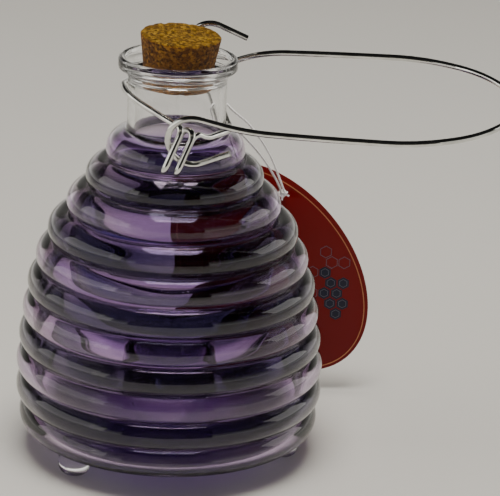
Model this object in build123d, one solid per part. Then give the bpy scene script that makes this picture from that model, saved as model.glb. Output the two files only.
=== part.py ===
from build123d import *
import os
from math import atan2, cos, hypot, pi, radians, sin, sqrt, tan

# A glass beehive wasp trap, in millimetres.
# +Z is up.  The origin is on the bottle's axis, in the plane that its three feet stand on.
# The carrying bail lies towards +X and the hang tag leans on the bottle's +Y side.

# ---- driving dimensions: bottle ----
RIB_PITCH = 12.0  # height from one rib to the next
TOP_RIB_Z = 137.7  # height of the highest rib's crest
RIB_CREST_RADII = [30, 38.5, 46.5, 54.5, 59.5, 63, 65, 66.5, 67.5, 67.5, 66]  # top rib first
BULGE_FULLNESS = 1.05  # rib section radius over half the distance to the next rib
WALL = 2.8  # glass under a rib's crest
CREASE_WALL = 2.4  # glass under the crease between two ribs
NECK_R = 21.2
NECK_BORE_R = 18.2
NECK_BASE_Z = 146.6
LIP_R = 25.5
LIP_Z = 178.5  # top of the rim
LIP_UNDER_Z = 173.5  # where the rim's upright edge starts to curve in to the neck
NECK_TOP_Z = 168.0
RIM_ROUND = 1.6
SEAT_LOW_Z = 169.8  # the tapered seat that grips the cork
SEAT_HIGH_Z = 172.4
FUNNEL_R = 22.6  # mouth of the funnel above the seat
FUNNEL_VIA = (18.9, 174.0)  # radius and height half way down the funnel's curve
THROAT_VIA = (17.2, 168.9)  # the same, on the hollow curve under the seat
THROAT_LOW_Z = 167.2  # where that curve ends
BASE_Z = 10.5  # underside of the bottle, held off the table by the feet
BASE_OUT_R = 60.0
BASE_IN_R = 44.0
ENTRY_R = 18.0  # bore that the wasps climb through
ENTRY_LOW_Z = 17.0
ENTRY_TOP_Z = 44.0
ENTRY_WALL = 2.8
ENTRY_RIM_RISE = 1.4  # rounded top of the entry tube
UNDER_CONE_VIA = (29.0, 12.3)  # radius and height on the hollow cone under the base
OVER_CONE_VIA = (30.6, 15.1)  # the same, on its upper skin

# ---- driving dimensions: feet and cork ----
FOOT_AZIMUTHS = [220, 352, 100]
FOOT_CIRCLE_R = 52.0
FOOT_PAD_R = 5.0  # flat that touches the table
FOOT_WAIST_R = 7.0
FOOT_TOP_R = 6.4
FOOT_INTO_BASE = 1.0  # how far a foot is melted into the base
CORK_TOP_R = 17.4
CORK_BOTTOM_R = 13.9
CORK_LENGTH = 22.5
CORK_CHAMFER = 0.6
CORK_LEAN = 4.6  # the cork isn't pushed in square
CORK_LEAN_AZIMUTH = -48.0
CORK_BELOW_SEAT = 5.4  # how far the cork's lower end is under the middle of the seat
CORK_GAP = 0.4  # between cork and seat, square to the bottle's axis, because the cork leans

# ---- driving dimensions: wires ----
WIRE_D = 2.7
COLLAR_R = 24.5  # centre line of the loop round the neck
COLLAR_Z = 156.6
COLLAR_TILT = 20.5  # the loop's -X side is the high one
LEFT_ARC = (120, 235, 5)  # stretch of the loop on the neck: start, stop, corners
RIGHT_ARC = (325, 395, 3)
FRONT_EYE_HALF_GAP = 3.2  # from an eye's middle plane to its strands
BACK_EYE_HALF_GAP = 4.15
FRONT_EYE_ANGLES = (205, 238)  # where the eye's two turns cross the front hook
FRONT_EYE_DOWN = (-0.38, -0.20, -0.90)
FRONT_EYE_NEAR = (10.5, 13.0)  # from each crossing up to the eye's collar end
FRONT_EYE_FAR = (9.7, 6.0)
FRONT_RETURN = (12.8, -23.6, 149.2)  # where the wire comes out of the front eye, back to the neck
BACK_EYE_ANGLES = (266, 243)
BACK_EYE_UP = (0.135, 0.574, 0.81)
BACK_EYE_NEAR = (8.5, 10.5)
BACK_EYE_FAR = (6.0, 6.0)
BAIL_CENTRE = (10.5, -0.4, 163.0)  # middle of the hinge line
BAIL_YAW = -5.8
BAIL_ROLL = 12.3
HOOK_Y = 39.2  # from the middle of the bail to a hook's centre
HOOK_Z = 3.0  # the front hook is this much below the hinge line's middle, the back one above
HOOK_HALF_WIDTH = 10.1
HOOK_HALF_HEIGHT = 11.2
HOOK_START = 68.8  # angle on the oval where the arm runs into the hook
HOOK_END = 293.0  # angle on the oval where the free end leaves the hook
HOOK_TAIL = 13.2
HOOK_CORNERS = 8
ARM_RISE = 1.9  # arms lie in a plane this far above the middle of the hinge line
ARM_BEND = (22.0, 37.5)  # where each arm straightens: along the bail, half spacing
ARM_MIDDLE = (50.0, 39.2)
BAIL_HALF_WIDTH = 40.1
BAIL_END_LENGTH = 56.0  # half length of the oval that closes the bail
BAIL_LENGTH = 133.5  # from the hinge line to the closed end

# ---- driving dimensions: tag, string and knot ----
TAG_LONG = 117.0
TAG_SHORT = 76.0
TAG_THICK = 0.6
TAG_CENTRE = (45.4, 68.6, 61.2)
TAG_LEAN = 129.0  # angle of the tag's long axis above +X
TAG_HOLE = (50.0, 97.5)  # X and Z of the punched hole
TAG_HOLE_R = 2.0
STRING_D = 1.0
KNOT_R = 1.7
KNOT_BACK_R = 1.4
KNOT_SHANK_R = 0.9
KNOT_GAP = 0.15
STRING_ROUTE = [  # knot, up to the collar, round it, and back down to the knot
    (50.8, 65.9, 98.6),
    (49.3, 63.9, 102.8),
    (47.0, 58.6, 109.6),
    (43.4, 50.4, 119.6),
    (38.2, 40.6, 130.6),
    (31.6, 29.6, 141.6),
    (26.4, 22.4, 147.4),
    (23.8, 18.6, 150.6),
    (21.5, 16.4, 153.6),
    (19.7, 15.8, 154.1),
    (17.9, 15.7, 153.1),
    (17.3, 16.3, 151.2),
    (19.2, 18.2, 148.2),
    (22.0, 21.2, 144.0),
    (27.4, 27.2, 138.4),
    (34.6, 37.6, 128.6),
    (40.6, 48.0, 118.6),
    (45.4, 57.2, 108.8),
    (48.3, 63.1, 102.2),
    (49.2, 65.8, 98.4),
]


def bevelled(corners, share=0.45):
    """Radius for each inner corner: a share of the shorter run, over the tangent of half the turn."""
    radii = []
    for before, corner, after in zip(corners, corners[1:], corners[2:]):
        first = Vector(corner) - Vector(before)
        second = Vector(after) - Vector(corner)
        half_turn = radians(first.get_angle(second)) / 2
        radii.append(share * min(first.length, second.length) / tan(half_turn))
    return radii


def tube(corners, radii, diameter):
    """Round wire or string along straight runs joined by tangent arcs."""
    path = FilletPolyline(*corners, radius=radii)
    start = Plane(origin=path @ 0, z_dir=path % 0)
    return sweep(start * Circle(diameter / 2), path=path)


# ---- bottle ----
RIBS = [(r, TOP_RIB_Z - RIB_PITCH * i) for i, r in enumerate(RIB_CREST_RADII)]


def rib_section(i):
    """Centre and radius of the circle that is a rib's outer section."""
    if i == 0:
        radius = NECK_BASE_Z - TOP_RIB_Z
    else:
        last = min(i + 1, len(RIBS) - 1)
        gap = hypot(RIBS[last][0] - RIBS[i - 1][0], RIBS[last][1] - RIBS[i - 1][1]) / (last - i + 1)
        radius = BULGE_FULLNESS * gap / 2
    return RIBS[i][0] - radius, RIBS[i][1], radius


def crease(i):
    """Outer meeting point of rib i's section with the next rib's."""
    ax, az, ar = rib_section(i)
    bx, bz, br = rib_section(i + 1)
    dx, dz = bx - ax, bz - az
    d = hypot(dx, dz)
    along = (d * d + ar * ar - br * br) / (2 * d)
    out = sqrt(ar * ar - along * along)
    return ax + (along * dx - out * dz) / d, az + (along * dz + out * dx) / d


def neck_foot():
    """Where the neck stands on the top rib."""
    cx, cz, radius = rib_section(0)
    return NECK_R, cz + sqrt(radius ** 2 - (NECK_R - cx) ** 2)


def rib_arcs(ends, depth):
    """One bulging arc for each rib through the given ends, depth under the rib's outer section."""
    outer_ends = [neck_foot()] + [crease(i) for i in range(len(RIBS) - 1)] + [(BASE_OUT_R, BASE_Z)]
    arcs = []
    for i, (start, finish) in enumerate(zip(ends, ends[1:])):
        cx, cz, radius = rib_section(i)
        (ax, az), (bx, bz) = outer_ends[i], outer_ends[i + 1]
        facing = atan2((az + bz) / 2 - cz, (ax + bx) / 2 - cx)
        if i == len(RIBS) - 1:
            facing = 0
        reach = radius - depth
        arcs.append(ThreePointArc(start, (cx + reach * cos(facing), cz + reach * sin(facing)), finish))
    return arcs


def bottle_outside():
    """Outer profile from the rim down to the base corner."""
    creases = [crease(i) for i in range(len(RIBS) - 1)]
    return rib_arcs([neck_foot()] + creases + [(BASE_OUT_R, BASE_Z)], 0)


def bottle_inside():
    """Inner profile from the base corner up to the neck, a shallower copy of the ribs."""
    ends = [(NECK_BORE_R, NECK_BASE_Z - WALL)]
    for i in range(len(RIBS) - 1):
        r, z = crease(i)
        slope = atan2(RIBS[i + 1][0] - RIBS[i][0], RIB_PITCH)
        ends.append((r - CREASE_WALL * cos(slope), z - CREASE_WALL * sin(slope)))
    return rib_arcs(ends + [(BASE_OUT_R - WALL, BASE_Z + WALL)], WALL)


def cork_radius(z):
    """Radius at height z of the tapered cork, if it stood square."""
    share = (z - (SEAT_LOW_Z + SEAT_HIGH_Z) / 2 + CORK_BELOW_SEAT) / CORK_LENGTH
    return CORK_BOTTOM_R + share * (CORK_TOP_R - CORK_BOTTOM_R)


def mouth_lines():
    """Neck and rim, from the neck's foot outside, over the rim and down the bore to its foot."""
    outer_rim = (LIP_R, LIP_Z - RIM_ROUND)
    rim_top = (LIP_R - RIM_ROUND, LIP_Z)
    inner_rim = (FUNNEL_R, LIP_Z - RIM_ROUND)
    seat_high = (cork_radius(SEAT_HIGH_Z) + CORK_GAP, SEAT_HIGH_Z)
    seat_low = (cork_radius(SEAT_LOW_Z) + CORK_GAP, SEAT_LOW_Z)
    flare_via = (NECK_R + 0.3 * (LIP_R - NECK_R), NECK_TOP_Z + 0.62 * (LIP_UNDER_Z - NECK_TOP_Z))
    edge = (1 - sqrt(0.5)) * RIM_ROUND
    return [
        Line(neck_foot(), (NECK_R, NECK_TOP_Z)),
        ThreePointArc((NECK_R, NECK_TOP_Z), flare_via, (LIP_R, LIP_UNDER_Z)),
        Line((LIP_R, LIP_UNDER_Z), outer_rim),
        ThreePointArc(outer_rim, (LIP_R - edge, LIP_Z - edge), rim_top),
        ThreePointArc(rim_top, (FUNNEL_R + edge, LIP_Z - edge), inner_rim),
        ThreePointArc(inner_rim, FUNNEL_VIA, seat_high),
        Line(seat_high, seat_low),
        ThreePointArc(seat_low, THROAT_VIA, (NECK_BORE_R, THROAT_LOW_Z)),
        Line((NECK_BORE_R, THROAT_LOW_Z), (NECK_BORE_R, NECK_BASE_Z - WALL)),
    ]


def base_lines():
    """Foot ring, cone and entry tube: underneath from the base corner in, then back over the top."""
    tube_out = ENTRY_R + ENTRY_WALL
    under_cone = (ENTRY_R, ENTRY_LOW_Z)
    over_cone = (tube_out, ENTRY_LOW_Z + 1.0)
    tube_top = (ENTRY_R + ENTRY_WALL / 2, ENTRY_TOP_Z + ENTRY_RIM_RISE)
    return [
        Line((BASE_OUT_R, BASE_Z), (BASE_IN_R, BASE_Z)),
        ThreePointArc((BASE_IN_R, BASE_Z), UNDER_CONE_VIA, under_cone),
        Line(under_cone, (ENTRY_R, ENTRY_TOP_Z)),
        ThreePointArc((ENTRY_R, ENTRY_TOP_Z), tube_top, (tube_out, ENTRY_TOP_Z)),
        Line((tube_out, ENTRY_TOP_Z), over_cone),
        ThreePointArc(over_cone, OVER_CONE_VIA, (BASE_IN_R, BASE_Z + WALL)),
        Line((BASE_IN_R, BASE_Z + WALL), (BASE_OUT_R - WALL, BASE_Z + WALL)),
    ]


def glass_bottle():
    """Blown bottle: clear neck and rim, ribbed body and the entry tube in its base."""
    lines = bottle_outside() + mouth_lines() + bottle_inside() + base_lines()
    return revolve(Plane.XZ * make_face(lines), Axis.Z)


def foot(azimuth):
    """One clear glass foot, melted on under the base."""
    top = BASE_Z + FOOT_INTO_BASE
    waist = 0.45 * top
    profile = make_face([
        Line((0, 0), (FOOT_PAD_R, 0)),
        ThreePointArc((FOOT_PAD_R, 0), (FOOT_WAIST_R - 0.5, 0.35 * waist), (FOOT_WAIST_R, waist)),
        ThreePointArc((FOOT_WAIST_R, waist), (FOOT_WAIST_R - 0.1, 0.75 * top), (FOOT_TOP_R, top)),
        Line((FOOT_TOP_R, top), (0, top)),
        Line((0, top), (0, 0)),
    ])
    knob = revolve(Plane.XZ * profile, Axis.Z)
    place = (FOOT_CIRCLE_R * cos(radians(azimuth)), FOOT_CIRCLE_R * sin(radians(azimuth)), 0)
    return Pos(*place) * knob


def cork_stopper():
    """Tapered stopper, wider at the top, leaning in its seat."""
    low_end = (Align.CENTER, Align.CENTER, Align.MIN)
    cone = Cone(CORK_BOTTOM_R, CORK_TOP_R, CORK_LENGTH, align=low_end)
    cone = Pos(0, 0, -CORK_BELOW_SEAT) * chamfer(cone.edges(), CORK_CHAMFER)
    turn = Rot(0, 0, CORK_LEAN_AZIMUTH) * Rot(0, CORK_LEAN, 0)
    return Pos(0, 0, (SEAT_LOW_Z + SEAT_HIGH_Z) / 2) * turn * cone


# ---- wires ----
def oval_corners(centre, along, up, half_width, half_height, start, stop, count):
    """Corners of an open polygon drawn round an oval, from one angle to another."""
    step = (stop - start) / count
    out = 1 / cos(radians(step) / 2)
    corners = []
    for i in range(count):
        angle = radians(start + step * (i + 0.5))
        sideways = along * (out * half_width * cos(angle))
        corners.append(centre + sideways + up * (out * half_height * sin(angle)))
    return corners


def hook_axes(side):
    """A hook's centre and its two oval axes in the bail's own frame; side -1 is the front hook."""
    reach = hypot(HOOK_Y, HOOK_Z)
    centre = Vector(0, side * HOOK_Y, side * HOOK_Z)
    return centre, Vector(1, 0, 0), Vector(0, -HOOK_Z / reach, HOOK_Y / reach)


def hook_point(side, angle):
    """Point on a hook's centre line, and the direction of the wire there."""
    centre, along, up = hook_axes(side)
    a = radians(angle)
    point = centre + along * (HOOK_HALF_WIDTH * cos(a)) + up * (HOOK_HALF_HEIGHT * sin(a))
    tangent = along * (-HOOK_HALF_WIDTH * sin(a)) + up * (HOOK_HALF_HEIGHT * cos(a))
    return point, tangent.normalized()


def bail_half(side):
    """Corners of one half of the bail, from the hook's free end to the closed end's middle."""
    centre, along, up = hook_axes(side)
    turn = -side
    tail_start, tangent = hook_point(side, turn * HOOK_END)
    corners = [tail_start + tangent * (turn * HOOK_TAIL)]
    corners += oval_corners(centre, along, up, HOOK_HALF_WIDTH, HOOK_HALF_HEIGHT,
                            turn * HOOK_END, turn * HOOK_START, HOOK_CORNERS)
    for x, half_width in (ARM_BEND, ARM_MIDDLE):
        corners.append(Vector(x, side * half_width, ARM_RISE))
    corners += oval_corners(Vector(BAIL_LENGTH - BAIL_END_LENGTH, 0, ARM_RISE), Vector(1, 0, 0),
                            Vector(0, side, 0), BAIL_END_LENGTH, BAIL_HALF_WIDTH, 90, 0, 3)
    return corners


def bail_place():
    """Where the bail's own frame stands: at the hinge line's middle, +X out to the closed end."""
    return Pos(*BAIL_CENTRE) * Rot(0, 0, BAIL_YAW) * Rot(BAIL_ROLL, 0, 0)


def bail_wire():
    """Carrying bail: one wire, hooked at both ends."""
    corners = bail_half(-1) + bail_half(1)[::-1]
    return bail_place() * tube(corners, bevelled(corners, 0.49), WIRE_D)


def in_row(point):
    """A point of the bail's own frame, in the part's frame."""
    return (bail_place() * Pos(point)).position


def in_row_direction(direction):
    """A direction of the bail's own frame, in the part's frame."""
    return in_row(direction) - in_row(Vector(0, 0, 0))


def eye_corners(side, angles, lengthwise, near, far, half_gap):
    """Corners of a two-turn eye round a hook, from the collar side of one turn to that of the last."""
    middle = in_row_direction(hook_point(side, sum(angles) / 2)[1])
    across = lengthwise.cross(middle).normalized()
    if across.Y * side < 0:
        across = across * -1
    across = across * half_gap
    centres = [in_row(hook_point(side, angle)[0]) for angle in angles]
    nears = [centre - lengthwise * reach for centre, reach in zip(centres, near)]
    fars = [centre + lengthwise * reach for centre, reach in zip(centres, far)]
    near_half = (nears[1] - nears[0]) * 0.5
    far_half = (fars[1] - fars[0]) * 0.5
    corners = [nears[0] - across - near_half]
    for near_end, far_end in zip(nears, fars):
        corners += [near_end + across, far_end + across]
        corners += [far_end - across + far_half, near_end - across + near_half]
    return corners


def collar_wire():
    """Loop of wire round the neck, wound into an eye round each of the bail's hooks."""
    tilt = radians(COLLAR_TILT)
    downhill = Vector(cos(tilt), 0, -sin(tilt))
    hub = Vector(0, 0, COLLAR_Z)

    def loop(start, stop, count):
        return oval_corners(hub, downhill, Vector(0, 1, 0), COLLAR_R, COLLAR_R, start, stop, count)

    left = loop(*LEFT_ARC)
    right = loop(*RIGHT_ARC)
    left_joint = (left[1] + left[2]) * 0.5
    right_joint = (right[0] + right[1]) * 0.5
    front_eye = eye_corners(-1, FRONT_EYE_ANGLES, Vector(*FRONT_EYE_DOWN).normalized(),
                            FRONT_EYE_NEAR, FRONT_EYE_FAR, FRONT_EYE_HALF_GAP)
    back_eye = eye_corners(1, BACK_EYE_ANGLES, Vector(*BACK_EYE_UP).normalized(),
                           BACK_EYE_NEAR, BACK_EYE_FAR, BACK_EYE_HALF_GAP)
    front = [left_joint] + left[2:] + front_eye + [Vector(*FRONT_RETURN)] + right[:1] + [right_joint]
    back = [right_joint] + right[1:] + back_eye + left[:2] + [left_joint]
    return tube(front, bevelled(front, 0.49), WIRE_D) + tube(back, bevelled(back, 0.49), WIRE_D)


# ---- tag, string and knot ----
def hang_tag():
    """Oval card with a punched hole, upright and facing -Y."""
    card = Rot(0, 0, TAG_LEAN) * Ellipse(TAG_LONG / 2, TAG_SHORT / 2)
    card = Pos(TAG_CENTRE[0], TAG_CENTRE[2]) * card
    card -= Pos(*TAG_HOLE) * Circle(TAG_HOLE_R)
    sheet = Plane(origin=(0, TAG_CENTRE[1], 0), x_dir=(1, 0, 0), z_dir=(0, -1, 0)) * card
    return extrude(sheet, TAG_THICK / 2, both=True)


def tag_string():
    """Thread from the knot up to the collar, round it and back down."""
    radii = bevelled(STRING_ROUTE)
    thread = tube(STRING_ROUTE, radii, STRING_D)
    length = thread.volume / (pi * STRING_D ** 2 / 4)
    print("string length", round(length, 1), "bend radii", [round(r, 1) for r in radii])
    return thread


def string_knot():
    """Knot that joins the string's ends, drawn through the tag's hole from face to face."""
    x, z = TAG_HOLE
    front = TAG_CENTRE[1] - TAG_THICK / 2 - KNOT_GAP - KNOT_R
    back = TAG_CENTRE[1] + TAG_THICK / 2 + KNOT_GAP + KNOT_BACK_R
    shank = Pos(x, (front + back) / 2, z) * Rot(90, 0, 0) * Cylinder(KNOT_SHANK_R, back - front)
    return Pos(x, front, z) * Sphere(KNOT_R) + shank + Pos(x, back, z) * Sphere(KNOT_BACK_R)


def write_parts():
    """Write one STEP file for each piece."""
    os.makedirs("parts", exist_ok=True)
    pieces = {
        "glass_bottle": glass_bottle(),
        "cork_stopper": cork_stopper(),
        "collar_wire": collar_wire(),
        "bail_wire": bail_wire(),
        "hang_tag": hang_tag(),
        "tag_string": tag_string(),
        "string_knot": string_knot(),
    }
    for i, azimuth in enumerate(FOOT_AZIMUTHS):
        pieces[f"glass_foot_{i + 1}"] = foot(azimuth)
    for name, piece in pieces.items():
        export_step(piece, f"parts/{name}.step")


write_parts()
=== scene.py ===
import math

import bmesh
import bpy
from mathutils import Matrix, Vector, noise


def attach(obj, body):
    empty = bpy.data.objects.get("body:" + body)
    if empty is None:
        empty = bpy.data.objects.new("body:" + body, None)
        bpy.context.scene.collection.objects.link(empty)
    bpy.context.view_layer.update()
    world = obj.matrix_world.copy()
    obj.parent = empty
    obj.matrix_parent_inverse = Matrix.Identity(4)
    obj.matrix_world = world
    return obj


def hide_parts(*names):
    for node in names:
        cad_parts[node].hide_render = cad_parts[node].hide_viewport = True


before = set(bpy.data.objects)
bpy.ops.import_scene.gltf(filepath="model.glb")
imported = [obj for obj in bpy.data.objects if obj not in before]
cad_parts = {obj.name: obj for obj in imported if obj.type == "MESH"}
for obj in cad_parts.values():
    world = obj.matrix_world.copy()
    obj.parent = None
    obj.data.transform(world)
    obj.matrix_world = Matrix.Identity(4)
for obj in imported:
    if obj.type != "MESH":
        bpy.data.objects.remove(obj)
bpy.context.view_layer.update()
MM = 0.001

# The bottle's profile repeats the driving dimensions of the CAD source, in millimetres.
RIB_PITCH = 12.0
TOP_RIB_Z = 137.7
RIB_CREST_RADII = [30, 38.5, 46.5, 54.5, 59.5, 63, 65, 66.5, 67.5, 67.5, 66]
BULGE_FULLNESS = 1.05
WALL = 2.8
CREASE_WALL = 2.4
NECK_R = 21.2
NECK_BORE_R = 18.2
NECK_BASE_Z = 146.6
BASE_Z = 10.5
BASE_OUT_R = 60.0
SEAT_LOW = (14.94, 169.8)  # radius and height of the two ends of the cork's seat
SEAT_HIGH = (15.34, 172.4)
CORK_BOTTOM_R = 13.9
CORK_TOP_R = 17.4
CORK_LENGTH = 22.5
CORK_LEAN = 4.6  # degrees
CORK_LEAN_AZIMUTH = -48.0
CORK_BELOW_SEAT = 5.4

TAG_FACE_Y = 68.3  # the card's printed face
TAG_CENTRE = (45.4, 61.2)
TAG_LEAN = 129.0
TAG_HOLE = (50.0, 97.5)
CELL = 3.4  # corner radius of one printed honeycomb cell
CELLS_AT = (71.5, 49.0)

STRING_ROUTE = [
    (50.8, 65.9, 98.6),
    (49.3, 63.9, 102.8),
    (47.0, 58.6, 109.6),
    (43.4, 50.4, 119.6),
    (38.2, 40.6, 130.6),
    (31.6, 29.6, 141.6),
    (26.4, 22.4, 147.4),
    (23.8, 18.6, 150.6),
    (21.5, 16.4, 153.6),
    (19.7, 15.8, 154.1),
    (17.9, 15.7, 153.1),
    (17.3, 16.3, 151.2),
    (19.2, 18.2, 148.2),
    (22.0, 21.2, 144.0),
    (27.4, 27.2, 138.4),
    (34.6, 37.6, 128.6),
    (40.6, 48.0, 118.6),
    (45.4, 57.2, 108.8),
    (48.3, 63.1, 102.2),
    (49.2, 65.8, 98.4),
]


# ---- camera ----
def add_camera():
    """Camera 1 m in front of the bottle's axis, looking down on it."""
    yaw, pitch, roll = 0.03365, -0.32656, 0.0403
    forward = Vector((math.sin(yaw) * math.cos(pitch), math.cos(yaw) * math.cos(pitch), math.sin(pitch)))
    level = forward.cross(Vector((0, 0, 1))).normalized()
    up = level.cross(forward)
    right = level * math.cos(roll) + up * math.sin(roll)
    up = up * math.cos(roll) - level * math.sin(roll)
    data = bpy.data.cameras.new("camera")
    data.lens, data.sensor_width = 174.4, 36
    data.clip_start, data.clip_end = 0.05, 60
    camera = bpy.data.objects.new("camera", data)
    camera.matrix_world = Matrix((right, up, -forward)).transposed().to_4x4()
    camera.location = (0, -1.0, 0.43227)
    bpy.context.collection.objects.link(camera)
    bpy.context.scene.camera = camera


add_camera()


# ---- making things ----
def new_object(name, data, body=None):
    obj = bpy.data.objects.new(name, data)
    bpy.context.collection.objects.link(obj)
    if body:
        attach(obj, body)
    return obj


def mesh_object(name, bm, body=None, sharp=40):
    """A smooth-shaded object from a bmesh, with edges sharper than the given angle kept crisp."""
    bmesh.ops.recalc_face_normals(bm, faces=bm.faces)
    for face in bm.faces:
        face.smooth = True
    for edge in bm.edges:
        if edge.is_manifold and edge.calc_face_angle() > math.radians(sharp):
            edge.smooth = False
    mesh = bpy.data.meshes.new(name)
    bm.to_mesh(mesh)
    bm.free()
    return new_object(name, mesh, body)


def lathe(points, segments, closed):
    """Revolves (radius, height) points in millimetres round Z."""
    bm = bmesh.new()
    rings = []
    for r, z in points:
        if r < 1e-6:
            rings.append([bm.verts.new((0, 0, z * MM))] * segments)
        else:
            angles = [2 * math.pi * i / segments for i in range(segments)]
            rings.append([bm.verts.new((r * MM * math.cos(a), r * MM * math.sin(a), z * MM)) for a in angles])
    pairs = list(zip(rings, rings[1:] + rings[:1])) if closed else list(zip(rings, rings[1:]))
    for low, high in pairs:
        for i in range(segments):
            j = (i + 1) % segments
            corners = list(dict.fromkeys([low[i], low[j], high[j], high[i]]))
            if len(corners) > 2:
                bm.faces.new(corners)
    return bm


def arc(start, via, end, step=0.8):
    """Points along the circle through three (radius, height) points, without the last one."""
    (ax, ay), (bx, by), (cx, cy) = start, via, end
    d = 2 * (ax * (by - cy) + bx * (cy - ay) + cx * (ay - by))
    a2, b2, c2 = ax * ax + ay * ay, bx * bx + by * by, cx * cx + cy * cy
    ox = (a2 * (by - cy) + b2 * (cy - ay) + c2 * (ay - by)) / d
    oy = (a2 * (cx - bx) + b2 * (ax - cx) + c2 * (bx - ax)) / d
    radius = math.hypot(ax - ox, ay - oy)
    first = math.atan2(ay - oy, ax - ox)
    middle = (math.atan2(by - oy, bx - ox) - first) % (2 * math.pi)
    sweep = (math.atan2(cy - oy, cx - ox) - first) % (2 * math.pi)
    if middle > sweep:
        sweep -= 2 * math.pi
    count = max(2, round(abs(sweep) * radius / step))
    turns = [first + sweep * i / count for i in range(count)]
    return [(ox + radius * math.cos(t), oy + radius * math.sin(t)) for t in turns]


def line(start, end, step=0.8):
    count = max(1, round(math.dist(start, end) / step))
    return [(start[0] + (end[0] - start[0]) * i / count, start[1] + (end[1] - start[1]) * i / count)
            for i in range(count)]


# ---- bottle ----
RIBS = [(r, TOP_RIB_Z - RIB_PITCH * i) for i, r in enumerate(RIB_CREST_RADII)]


def rib_section(i):
    """Centre and radius of the circle that is a rib's outer section."""
    if i == 0:
        radius = NECK_BASE_Z - TOP_RIB_Z
    else:
        last = min(i + 1, len(RIBS) - 1)
        gap = math.dist(RIBS[last], RIBS[i - 1]) / (last - i + 1)
        radius = BULGE_FULLNESS * gap / 2
    return RIBS[i][0] - radius, RIBS[i][1], radius


def crease(i):
    """Outer meeting point of rib i's section with the next rib's."""
    ax, az, ar = rib_section(i)
    bx, bz, br = rib_section(i + 1)
    dx, dz = bx - ax, bz - az
    d = math.hypot(dx, dz)
    along = (d * d + ar * ar - br * br) / (2 * d)
    out = math.sqrt(ar * ar - along * along)
    return ax + (along * dx - out * dz) / d, az + (along * dz + out * dx) / d


def outer_ends():
    cx, cz, radius = rib_section(0)
    foot = (NECK_R, cz + math.sqrt(radius ** 2 - (NECK_R - cx) ** 2))
    return [foot] + [crease(i) for i in range(len(RIBS) - 1)] + [(BASE_OUT_R, BASE_Z)]


def rib_arcs(ends, depth):
    """Points of one bulging arc for each rib, depth under the rib's outer section."""
    outer = outer_ends()
    points = []
    for i in range(len(RIBS)):
        cx, cz, radius = rib_section(i)
        facing = math.atan2((outer[i][1] + outer[i + 1][1]) / 2 - cz, (outer[i][0] + outer[i + 1][0]) / 2 - cx)
        if i == len(RIBS) - 1:
            facing = 0
        reach = radius - depth
        points += arc(ends[i], (cx + reach * math.cos(facing), cz + reach * math.sin(facing)), ends[i + 1])
    return points


def eased(points, rounds):
    """Rounds the corners of a closed profile by averaging each point with its neighbours."""
    for _ in range(rounds):
        points = [((a[0] + 2 * b[0] + c[0]) / 4, (a[1] + 2 * b[1] + c[1]) / 4)
                  for a, b, c in zip(points[-1:] + points[:-1], points, points[1:] + points[:1])]
    return points


def bottle_profile():
    outer = outer_ends()
    outside = rib_arcs(outer, 0)
    inner = [(NECK_BORE_R, NECK_BASE_Z - WALL)]
    for i in range(len(RIBS) - 1):
        slope = math.atan2(RIBS[i + 1][0] - RIBS[i][0], RIB_PITCH)
        r, z = crease(i)
        inner.append((r - CREASE_WALL * math.cos(slope), z - CREASE_WALL * math.sin(slope)))
    inner.append((BASE_OUT_R - WALL, BASE_Z + WALL))
    inside = rib_arcs(inner, WALL)
    base = line((60, 10.5), (44, 10.5)) + arc((44, 10.5), (29, 12.3), (18, 17)) + line((18, 17), (18, 44))
    base += arc((18, 44), (19.4, 45.4), (20.8, 44), 0.5) + line((20.8, 44), (20.8, 18))
    base += arc((20.8, 18), (30.6, 15.1), (44, 13.3)) + line((44, 13.3), (57.2, 13.3))
    mouth = line((18.2, 143.8), (18.2, 167.2)) + arc((18.2, 167.2), (17.2, 168.9), SEAT_LOW, 0.4)
    mouth += line(SEAT_LOW, SEAT_HIGH, 0.4) + arc(SEAT_HIGH, (18.9, 174.0), (22.6, 176.9), 0.4)
    mouth += arc((22.6, 176.9), (23.07, 178.03), (23.9, 178.5), 0.3)
    mouth += arc((23.9, 178.5), (25.03, 178.03), (25.5, 176.9), 0.3)
    mouth += line((25.5, 176.9), (25.5, 173.5), 0.5) + arc((25.5, 173.5), (22.49, 171.41), (21.2, 168), 0.4)
    mouth += line((21.2, 168), outer[0])
    return eased(outside + base + inside[::-1] + mouth, 2)


def glass_bottle():
    bm = lathe(bottle_profile(), 256, True)
    bmesh.ops.recalc_face_normals(bm, faces=bm.faces)
    for v in bm.verts:
        r = math.hypot(v.co.x, v.co.y)
        inward = -(v.normal.x * v.co.x + v.normal.y * v.co.y) / r
        share = min(1, (inward - 0.1) / 0.4) * min(1, (r - 0.024) / 0.006)
        if inward > 0.1 and r > 0.024:
            wobble = noise.noise(Vector((v.co.x * 18, v.co.y * 18, v.co.z * 70)))
            v.co += v.normal * 0.00025 * wobble * share
    bottle = mesh_object("bottle", bm, "bottle")
    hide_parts("glass_bottle")
    return bottle


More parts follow.
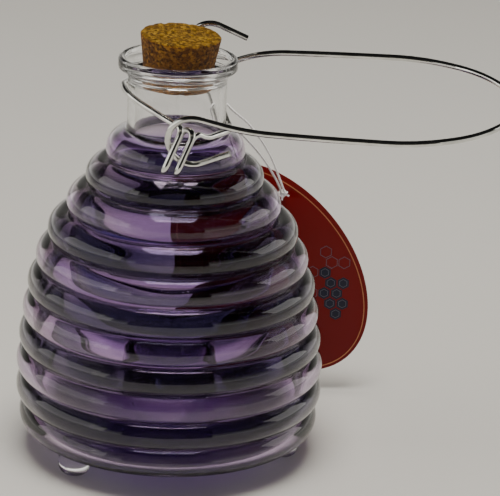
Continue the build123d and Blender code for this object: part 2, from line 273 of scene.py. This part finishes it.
# ---- materials ----
class Nodes:
    """Short calls for building one material's node tree."""

    def __init__(self, name):
        self.material = bpy.data.materials.new(name)
        self.material.use_nodes = True
        self.tree = self.material.node_tree
        self.tree.nodes.clear()
        self.out = self.tree.nodes.new("ShaderNodeOutputMaterial")

    def add(self, kind, settings=None, **inputs):
        node = self.tree.nodes.new("ShaderNode" + kind)
        for key, value in (settings or {}).items():
            setattr(node, key, value)
        for key, value in inputs.items():
            name = key.replace("_", " ")
            socket = node.inputs[int(key[1:])] if key[0] == "i" and key[1:].isdigit() else node.inputs[name]
            if isinstance(value, bpy.types.NodeSocket):
                self.tree.links.new(value, socket)
            else:
                socket.default_value = value
        return node

    def math(self, operation, a, b=0.0, clamp=False):
        return self.add("Math", {"operation": operation, "use_clamp": clamp}, i0=a, i1=b).outputs[0]

    def mix(self, factor, a, b):
        node = self.add("Mix", {"data_type": "RGBA"})
        for socket, value in ((node.inputs[0], factor), (node.inputs[6], a), (node.inputs[7], b)):
            if isinstance(value, bpy.types.NodeSocket):
                self.tree.links.new(value, socket)
            elif hasattr(value, "__len__"):
                socket.default_value = (*value[:3], 1)
            else:
                socket.default_value = value
        return node.outputs[2]

    def ramp(self, factor, stops, interpolation="LINEAR"):
        node = self.add("ValToRGB", None, Fac=factor)
        node.color_ramp.interpolation = interpolation
        elements = node.color_ramp.elements
        while len(elements) < len(stops):
            elements.new(1)
        for element, (place, colour) in zip(elements, stops):
            element.position = place
            element.color = (*colour, 1) if hasattr(colour, "__len__") else (colour, colour, colour, 1)
        return node.outputs[0]

    def place(self, scale=(1, 1, 1)):
        coords = self.add("TexCoord").outputs["Object"]
        return self.add("Mapping", None, Vector=coords, Scale=scale).outputs[0]

    def finish(self, shader):
        self.tree.links.new(shader, self.out.inputs[0])
        return self.material


def glass(name, tinted):
    n = Nodes(name)
    spot = n.add("TexCoord").outputs["Object"]
    z = n.add("SeparateXYZ", None, i0=spot).outputs[2]
    facing = n.add("LayerWeight", None, Blend=0.5).outputs["Facing"]
    # Greener and darker towards the silhouette, set by viewing angle: painted edge shade, greenish grey.
    colour = n.mix(n.math("POWER", facing, 3.0), (1.0, 1.0, 1.0), (0.60, 0.63, 0.56))
    if tinted:
        # Alternate ribs get a lighter lilac and a darker violet tint: painted light and shade on the purple glass,
        # for how each rib catches and bends the light.
        turn = n.math("MULTIPLY", n.math("SUBTRACT", TOP_RIB_Z * MM, z), math.pi / (RIB_PITCH * MM))
        rib = n.math("ADD", n.math("MULTIPLY", n.math("COSINE", turn), 1.6), 0.5, clamp=True)
        # The noise streaks lighten both tints. They are partly the glass's own streaks and partly painted lilac
        # highlights on the lighter ribs.
        streak = n.add("TexNoise", None, Vector=n.place((14, 14, 120)), Scale=1.0, Detail=3.0).outputs[0]
        streak = n.math("MULTIPLY", n.math("SUBTRACT", streak, 0.35), 3.0, clamp=True)
        # light and dark are the lit and shaded copies of the purple: painted light and painted shade.
        light = n.mix(streak, (0.46, 0.32, 0.62), (0.80, 0.66, 0.84))
        dark = n.mix(streak, (0.060, 0.048, 0.165), (0.20, 0.18, 0.25))
        purple_with_painted_light = n.mix(rib, dark, light)
        # The skin colours are painted edge shade: towards the silhouette the glass turns olive grey, darker on the
        # darker ribs, set by viewing angle.
        skin = n.mix(rib, (0.25, 0.26, 0.125), (0.40, 0.35, 0.30))
        purple_with_painted_light = n.mix(n.math("POWER", facing, 1.5), purple_with_painted_light, skin)
        fade = n.math("MULTIPLY", n.math("SUBTRACT", z, 0.1445), 450, clamp=True)
        colour = n.mix(fade, purple_with_painted_light, colour)
    body = n.add("BsdfPrincipled", None, Base_Color=colour, Roughness=0.01, IOR=1.5, Transmission_Weight=1.0)
    through = n.add("BsdfTransparent", None, Color=colour)
    shadow = n.add("LightPath").outputs["Is Shadow Ray"]
    return n.finish(n.add("MixShader", None, i0=shadow, i1=body.outputs[0], i2=through.outputs[0]).outputs[0])


def steel():
    n = Nodes("bright_wire")
    grain = n.add("TexNoise", None, Vector=n.place((900, 900, 900)), Scale=1.0, Detail=4.0).outputs[0]
    scuff = n.add("TexNoise", None, Vector=n.place((160, 160, 160)), Scale=1.0, Detail=2.0).outputs[0]
    colour = n.ramp(scuff, [(0.35, (0.60, 0.60, 0.57)), (0.6, (0.78, 0.78, 0.75))])
    rough = n.math("ADD", n.math("MULTIPLY", grain, 0.10), 0.06)
    bump = n.add("Bump", None, Strength=0.08, Distance=0.0001, Height=grain)
    return n.finish(n.add("BsdfPrincipled", None, Base_Color=colour, Metallic=1.0, Roughness=rough,
                          Normal=bump.outputs[0]).outputs[0])


def cork_material():
    """Pressed cork: small ochre granules, dark bark specks and a redder, rougher side."""
    n = Nodes("cork_grain")
    cells = n.add("TexVoronoi", None, Vector=n.place((880, 880, 1000)), Scale=1.0)
    fine = n.add("TexNoise", None, Vector=n.place((1500, 1500, 1500)), Scale=1.0, Detail=6.0, Roughness=0.7)
    bark = n.add("TexNoise", None, Vector=n.place((620, 620, 700)), Scale=1.0, Detail=5.0, Roughness=0.75)
    patch = n.add("TexNoise", None, Vector=n.place((95, 95, 95)), Scale=1.0, Detail=2.0).outputs[0]
    tone = n.add("SeparateXYZ", None, i0=cells.outputs["Color"]).outputs[0]
    upward = n.add("SeparateXYZ", None, i0=n.add("NewGeometry").outputs["Normal"]).outputs[2]
    upward = n.math("MULTIPLY", n.math("SUBTRACT", upward, 0.3), 2.5, clamp=True)
    end_grain = n.ramp(tone, [(0.0, (0.080, 0.040, 0.003)), (0.5, (0.19, 0.10, 0.007)), (1.0, (0.36, 0.21, 0.020))])
    side = n.ramp(tone, [(0.0, (0.085, 0.026, 0.002)), (0.5, (0.21, 0.075, 0.004)), (1.0, (0.38, 0.17, 0.012))])
    base = n.mix(upward, side, end_grain)
    base = n.mix(n.math("MULTIPLY", n.math("SUBTRACT", patch, 0.35), 1.6, clamp=True), n.mix(0.35, base, (0.07, 0.022, 0.002)), base)
    speck = n.ramp(bark.outputs[0], [(0.40, (1, 1, 1)), (0.47, (0, 0, 0))])
    gap = n.ramp(cells.outputs["Distance"], [(0.60, (0, 0, 0)), (0.90, (1, 1, 1))])
    colour = n.mix(n.math("MULTIPLY", speck, 0.85), base, (0.022, 0.007, 0.002))
    colour = n.mix(n.math("MULTIPLY", gap, 0.45), colour, (0.035, 0.011, 0.003))
    height = n.math("SUBTRACT", fine.outputs[0], n.math("MULTIPLY", speck, 1.1))
    bump = n.add("Bump", None, Strength=0.8, Distance=0.0004, Height=height)
    return n.finish(n.add("BsdfPrincipled", None, Base_Color=colour, Roughness=0.85,
                          Normal=bump.outputs[0]).outputs[0])


def card_material(name, colour_a, colour_b, roughness=0.28):
    n = Nodes(name)
    fibre = n.add("TexNoise", None, Vector=n.place((700, 700, 700)), Scale=1.0, Detail=5.0).outputs[0]
    patch = n.add("TexNoise", None, Vector=n.place((30, 30, 30)), Scale=1.0, Detail=2.0).outputs[0]
    colour = n.mix(patch, colour_a, colour_b)
    bump = n.add("Bump", None, Strength=0.15, Distance=0.0001, Height=fibre)
    rough = n.math("ADD", n.math("MULTIPLY", fibre, 0.12), roughness)
    return n.finish(n.add("BsdfPrincipled", None, Base_Color=colour, Roughness=rough, Specular_IOR_Level=0.22,
                          Normal=bump.outputs[0]).outputs[0])


def thread_material():
    n = Nodes("cotton_thread")
    fuzz = n.add("TexNoise", None, Vector=n.place((2500, 2500, 2500)), Scale=1.0, Detail=4.0).outputs[0]
    colour = n.ramp(fuzz, [(0.3, (0.86, 0.83, 0.82)), (0.6, (0.99, 0.98, 0.97))])
    bump = n.add("Bump", None, Strength=0.5, Distance=0.0001, Height=fuzz)
    return n.finish(n.add("BsdfPrincipled", None, Base_Color=colour, Roughness=0.9, Sheen_Weight=0.4,
                          Normal=bump.outputs[0]).outputs[0])


def floor_material():
    n = Nodes("pale_table")
    cloud = n.add("TexNoise", None, Vector=n.place((2, 2, 2)), Scale=1.0, Detail=2.0).outputs[0]
    colour = n.mix(cloud, (0.53, 0.515, 0.48), (0.56, 0.545, 0.51))
    rough = n.math("ADD", n.math("MULTIPLY", cloud, 0.1), 0.35)
    return n.finish(n.add("BsdfPrincipled", None, Base_Color=colour, Roughness=rough).outputs[0])


def dress(obj, material):
    obj.data.materials.clear()
    obj.data.materials.append(material)


# ---- cork ----
def cork():
    """Tapered cork with a granular, pitted skin, leaning in its seat."""
    low, high, edge = -CORK_BELOW_SEAT, CORK_LENGTH - CORK_BELOW_SEAT, 0.6
    taper = (CORK_TOP_R - CORK_BOTTOM_R) / CORK_LENGTH
    points = line((0, low), (CORK_BOTTOM_R - edge, low), 0.5)
    points += line((CORK_BOTTOM_R - edge, low), (CORK_BOTTOM_R + edge * taper, low + edge), 0.3)
    points += line((CORK_BOTTOM_R + edge * taper, low + edge), (CORK_TOP_R - edge * taper, high - edge), 0.45)
    points += line((CORK_TOP_R - edge * taper, high - edge), (CORK_TOP_R - edge, high), 0.3)
    points += line((CORK_TOP_R - edge, high), (0, high), 0.5) + [(0, high)]
    bm = lathe(points, 220, False)
    bm.normal_update()
    for v in bm.verts:
        grain = noise.noise(v.co * 620)
        pit = max(0.0, noise.noise(v.co * 330 + Vector((7, 3, 1))) - 0.22)
        v.co -= v.normal * (0.00010 + 0.00008 * grain + 0.0012 * pit)
    lean = Matrix.Rotation(math.radians(CORK_LEAN_AZIMUTH), 4, "Z") @ Matrix.Rotation(math.radians(CORK_LEAN), 4, "Y")
    seat = Matrix.Translation((0, 0, (SEAT_LOW[1] + SEAT_HIGH[1]) / 2 * MM))
    bmesh.ops.transform(bm, matrix=seat @ lean, verts=bm.verts)
    stopper = mesh_object("cork", bm, "cork", 60)
    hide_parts("cork_stopper")
    dress(stopper, cork_material())


# ---- thread ----
def route_points(route):
    """Points along the NURBS line through a route, from a curve with no bevel."""
    data = bpy.data.curves.new("route", "CURVE")
    data.dimensions = "3D"
    data.resolution_u = 40
    spline = data.splines.new("NURBS")
    spline.points.add(len(route) - 1)
    for point, place in zip(spline.points, route):
        point.co = (*(c * MM for c in place), 1)
    spline.order_u = 3
    spline.use_endpoint_u = True
    obj = bpy.data.objects.new("route", data)
    bpy.context.collection.objects.link(obj)
    bpy.context.view_layer.update()
    mesh = bpy.data.meshes.new_from_object(obj.evaluated_get(bpy.context.evaluated_depsgraph_get()))
    points = [v.co.copy() for v in mesh.vertices]
    bpy.data.objects.remove(obj)
    return points


def frames(points, closed=False):
    """A sideways and an upward direction at each point, turning as little as possible along the line."""
    count = len(points)
    tangents = []
    for i in range(count):
        after = points[(i + 1) % count] if closed else points[min(i + 1, count - 1)]
        before = points[i - 1] if closed else points[max(i - 1, 0)]
        tangents.append((after - before).normalized())
    side = tangents[0].orthogonal().normalized()
    sides = []
    for tangent in tangents:
        side = (side - tangent * side.dot(tangent)).normalized()
        sides.append(side.copy())
    return [(side, tangent.cross(side)) for side, tangent in zip(sides, tangents)]


def add_tube(bm, points, radius, sides=8, closed=False, offset=0.0, lay=1.0, phase=0.0):
    """A round strand along points, or one ply that winds round them at an offset, one turn in each lay's length."""
    rings, along = [], [0.0]
    for a, b in zip(points, points[1:]):
        along.append(along[-1] + (b - a).length)
    axes = frames(points, closed)
    turns = [phase + 2 * math.pi * s / lay for s in along]
    line_points = [p + (a * math.cos(t) + b * math.sin(t)) * offset for p, (a, b), t in zip(points, axes, turns)]
    axes = frames(line_points, closed)
    for p, (a, b) in zip(line_points, axes):
        turns = [2 * math.pi * k / sides for k in range(sides)]
        rings.append([bm.verts.new(p + (a * math.cos(t) + b * math.sin(t)) * radius) for t in turns])
    for low, high in zip(rings, rings[1:] + (rings[:1] if closed else [])):
        shift = 0
        if closed and high is rings[0]:
            shift = min(range(sides), key=lambda k: (high[k].co - low[0].co).length)
        for k in range(sides):
            m = (k + 1) % sides
            bm.faces.new((low[k], low[m], high[(m + shift) % sides], high[(k + shift) % sides]))
    if not closed:
        bm.faces.new(rings[0][::-1])
        bm.faces.new(rings[-1])


def thread():
    """Two plies twisted along the thread's route."""
    points = route_points(STRING_ROUTE)
    bm = bmesh.new()
    for phase in (0.0, math.pi):
        add_tube(bm, points, 0.33 * MM, 7, offset=0.24 * MM, lay=2.8 * MM, phase=phase)
    strand = mesh_object("thread", bm, "tag", 80)
    dress(strand, thread_material())
    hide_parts("tag_string")
    knot = thread_knot()


def thread_knot():
    """The knot on the card's face, its loop through the hole, the bead behind, and the thread's loose ends."""
    x, z = TAG_HOLE
    bm = bmesh.new()
    for y, size in ((66.45, 0.4), (70.3, 0.33)):
        turns = [2 * math.pi * i / 60 for i in range(60)]
        loop = [Vector((x + size * (math.sin(t) + 2 * math.sin(2 * t)), y - size * math.sin(3 * t),
                        z + size * (math.cos(t) - 2 * math.cos(2 * t)))) * MM for t in turns]
        add_tube(bm, loop, size * 1.25 * MM, 8, closed=True)
    for side in (-0.42, 0.42):
        strand = [Vector((x + side, y, z)) * MM for y in (66.2, 67.4, 68.6, 69.6, 70.4)]
        add_tube(bm, strand, 0.42 * MM, 8)
    for end in ((52.9, 65.4, 97.0), (52.2, 64.9, 99.0), (49.7, 65.3, 95.0)):
        middle = (Vector((x, 66.3, z)) + Vector(end)) / 2 + Vector((0, -0.6, 0.5))
        start = Vector((x, 66.3, z))
        tail = [(start * (1 - t) ** 2 + middle * 2 * t * (1 - t) + Vector(end) * t * t) * MM
                for t in (i / 12 for i in range(13))]
        for phase in (0.0, math.pi):
            add_tube(bm, tail, 0.26 * MM, 6, offset=0.2 * MM, lay=2.6 * MM, phase=phase)
    knot = mesh_object("thread_knot", bm, "tag", 80)
    dress(knot, thread_material())
    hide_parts("string_knot")
    return knot


# ---- tag ----
def oval(centre, half_long, half_short, lean, count=96):
    """Points (X, Z) round an oval."""
    c, s = math.cos(math.radians(lean)), math.sin(math.radians(lean))
    points = []
    for i in range(count):
        t = 2 * math.pi * i / count
        u, v = half_long * math.cos(t), half_short * math.sin(t)
        points.append((centre[0] + u * c - v * s, centre[1] + u * s + v * c))
    return points


def print_patch(bm, rows, depth=0.04):
    """Ink, as a thin slab on the card's printed face: a strip of quads between neighbouring rows of points."""
    front = [[bm.verts.new((x * MM, (TAG_FACE_Y - depth) * MM, z * MM)) for x, z in row] for row in rows]
    back = [[bm.verts.new((x * MM, (TAG_FACE_Y + 0.02) * MM, z * MM)) for x, z in row] for row in rows]
    last = len(rows) - 1
    for i in range(last):
        for k in range(len(rows[i]) - 1):
            bm.faces.new((front[i][k], front[i][k + 1], front[i + 1][k + 1], front[i + 1][k]))
            bm.faces.new((back[i][k + 1], back[i][k], back[i + 1][k], back[i + 1][k + 1]))
        for k in (0, len(rows[i]) - 1):
            bm.faces.new((front[i][k], front[i + 1][k], back[i + 1][k], back[i][k]))
    for i in (0, last):
        for k in range(len(rows[i]) - 1):
            bm.faces.new((front[i][k], front[i][k + 1], back[i][k + 1], back[i][k]))


def print_shape(bm, outline, depth=0.04):
    """Ink in one closed shape."""
    front = [bm.verts.new((x * MM, (TAG_FACE_Y - depth) * MM, z * MM)) for x, z in outline]
    back = [bm.verts.new((x * MM, (TAG_FACE_Y + 0.02) * MM, z * MM)) for x, z in outline]
    bm.faces.new(front)
    bm.faces.new(back[::-1])
    for i in range(len(outline)):
        j = (i + 1) % len(outline)
        bm.faces.new((front[j], front[i], back[i], back[j]))


def loop_stroke(bm, outer, inner):
    print_patch(bm, [outer + outer[:1], inner + inner[:1]])


def card():
    """Oval card with rounded edges and a punched hole."""
    data = bpy.data.curves.new("card_outline", "CURVE")
    data.dimensions = "2D"
    data.fill_mode = "BOTH"
    data.extrude = 0.24 * MM
    data.bevel_depth = 0.06 * MM
    data.bevel_resolution = 2
    data.offset = -0.06 * MM
    outline = oval(TAG_CENTRE, 58.5, 38, TAG_LEAN, 160)
    hole = [(TAG_HOLE[0] + 2.0 * math.cos(t * math.pi / 16), TAG_HOLE[1] + 2.0 * math.sin(t * math.pi / 16))
            for t in range(32)]
    for ring in (outline, hole):
        spline = data.splines.new("POLY")
        spline.points.add(len(ring) - 1)
        for point, (x, z) in zip(spline.points, ring):
            point.co = (x * MM, z * MM, 0, 1)
        spline.use_cyclic_u = True
    flat = bpy.data.objects.new("card_outline", data)
    bpy.context.collection.objects.link(flat)
    bpy.context.view_layer.update()
    mesh = bpy.data.meshes.new_from_object(flat.evaluated_get(bpy.context.evaluated_depsgraph_get()))
    bpy.data.objects.remove(flat)
    bm = bmesh.new()
    bm.from_mesh(mesh)
    bmesh.ops.remove_doubles(bm, verts=bm.verts, dist=1e-6)
    upright = Matrix.Translation((0, (TAG_FACE_Y + 0.3) * MM, 0)) @ Matrix.Rotation(math.pi / 2, 4, "X")
    bmesh.ops.transform(bm, matrix=upright, verts=bm.verts)
    obj = mesh_object("card", bm, "tag", 50)
    dress(obj, card_material("red_card", (0.125, 0.0, 0.0), (0.165, 0.0, 0.0)))
    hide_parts("hang_tag")


def print_layer(name, colour_a, colour_b, draw):
    bm = bmesh.new()
    draw(bm)
    obj = mesh_object(name, bm, "tag", 50)
    dress(obj, card_material(name + "_ink", colour_a, colour_b, 0.3))


def draw_border(bm):
    centre = (TAG_CENTRE[0] + 0.5, TAG_CENTRE[1] - 0.7)
    loop_stroke(bm, oval(centre, 56.2, 35.9, TAG_LEAN, 160), oval(centre, 55.75, 35.45, TAG_LEAN, 160))


def honeycomb():
    """Centres (X, Z) of the cells of a small patch of honeycomb, filled ones first."""
    across, up = CELL * math.sqrt(3), CELL * 1.5
    filled = [(0, 0), (1, 0), (0, 1), (1, 1), (0, -1), (1, -1), (0, 2), (1, -2)]
    empty = [(-1, 2), (1, 3), (0, 3), (0, 4), (-1, 0)]
    place = lambda cell: (CELLS_AT[0] + across * (cell[0] + 0.5 * (cell[1] % 2)), CELLS_AT[1] + up * cell[1])
    return [place(c) for c in filled], [place(c) for c in empty]


def hexagon(centre, radius):
    turns = [math.pi / 6 + k * math.pi / 3 for k in range(6)]
    return [(centre[0] + radius * math.cos(t), centre[1] + radius * math.sin(t)) for t in turns]


def draw_filled_cells(bm):
    for centre in honeycomb()[0]:
        print_shape(bm, hexagon(centre, CELL * 0.9), 0.03)


def draw_cell_rims(bm):
    filled, empty = honeycomb()
    for centre in filled:
        loop_stroke(bm, hexagon(centre, CELL * 0.62), hexagon(centre, CELL * 0.54))
    for centre in empty:
        loop_stroke(bm, hexagon(centre, CELL * 0.9), hexagon(centre, CELL * 0.82))


def tag():
    card()
    print_layer("tag_border", (0.40, 0.15, 0.06), (0.50, 0.20, 0.09), draw_border)
    print_layer("tag_cells", (0.010, 0.013, 0.026), (0.018, 0.020, 0.038), draw_filled_cells)
    print_layer("tag_cell_rims", (0.09, 0.085, 0.11), (0.13, 0.12, 0.15), draw_cell_rims)


dress(glass_bottle(), glass("ribbed_glass", True))
clear = glass("clear_glass", False)
for node in ("glass_foot_1", "glass_foot_2", "glass_foot_3"):
    dress(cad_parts[node], clear)
wire = steel()
for node in ("collar_wire", "bail_wire"):
    dress(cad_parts[node], wire)
cork()
thread()
tag()


# ---- stage ----
def dark_above():
    """World light: pale towards the horizon, as from the walls of a room, and dark overhead."""
    world = bpy.data.worlds.new("room")
    bpy.context.scene.world = world
    world.use_nodes = True
    tree = world.node_tree
    coords = tree.nodes.new("ShaderNodeTexCoord")
    split = tree.nodes.new("ShaderNodeSeparateXYZ")
    ramp = tree.nodes.new("ShaderNodeValToRGB")
    tree.links.new(coords.outputs["Generated"], split.inputs[0])
    tree.links.new(split.outputs[2], ramp.inputs[0])
    tree.links.new(ramp.outputs[0], tree.nodes["Background"].inputs[0])
    stops = ramp.color_ramp.elements
    stops[0].position, stops[0].color = 0.03, (1.30, 1.26, 1.18, 1)
    stops[1].position, stops[1].color = 0.42, (0.012, 0.012, 0.012, 1)
    middle = stops.new(0.16)
    middle.color = (0.62, 0.60, 0.56, 1)


def softbox(name, azimuth, distance, height, width, tall, radiance):
    """A soft window: a rectangle that faces the bottle, azimuth counted from the front, positive to the right."""
    a = math.radians(azimuth)
    place = Vector((math.sin(a) * distance, -math.cos(a) * distance, height))
    data = bpy.data.lights.new(name, "AREA")
    data.shape, data.size, data.size_y = "RECTANGLE", width, tall
    data.energy = radiance * math.pi * width * tall
    data.color = (1.0, 0.97, 0.92)
    light = new_object(name, data)
    light.location = place
    light.rotation_mode = "QUATERNION"
    light.rotation_quaternion = (Vector((0, 0, 0.08)) - place).to_track_quat("-Z", "Y")
    return light


def set_stage():
    bm = bmesh.new()
    bmesh.ops.create_grid(bm, x_segments=8, y_segments=8, size=8)
    floor = mesh_object("floor", bm)
    dress(floor, floor_material())
    bm = bmesh.new()
    bmesh.ops.create_grid(bm, x_segments=1, y_segments=1, size=0.5)
    flag = mesh_object("dark_flag", bm)
    flag.matrix_world = (Matrix.Translation((0, -1.5, 0.62)) @ Matrix.Rotation(math.pi / 2, 4, "X")
                         @ Matrix.Diagonal((1.9, 1.2, 1, 1)))
    n = Nodes("dark_cloth")
    weave = n.add("TexNoise", None, Vector=n.place((40, 40, 40)), Scale=1.0).outputs[0]
    dress(flag, n.finish(n.add("BsdfDiffuse", None, Color=n.mix(weave, (0.01, 0.01, 0.01), (0.03, 0.03, 0.03))).outputs[0]))
    flag.visible_camera = flag.visible_diffuse = flag.visible_shadow = False
    dark_above()
    softbox("left_window", -86, 1.35, 0.62, 1.5, 0.8, 1.25)
    softbox("right_window", 104, 1.35, 0.62, 1.0, 0.7, 1.7)
    softbox("front_left_window", -52, 1.6, 0.5, 0.34, 0.7, 1.5)
    overhead = softbox("overhead", 0, 0.25, 2.1, 1.1, 1.1, 17.5)
    overhead.visible_glossy = False


set_stage()

# ---- final update ----
bpy.context.view_layer.update()
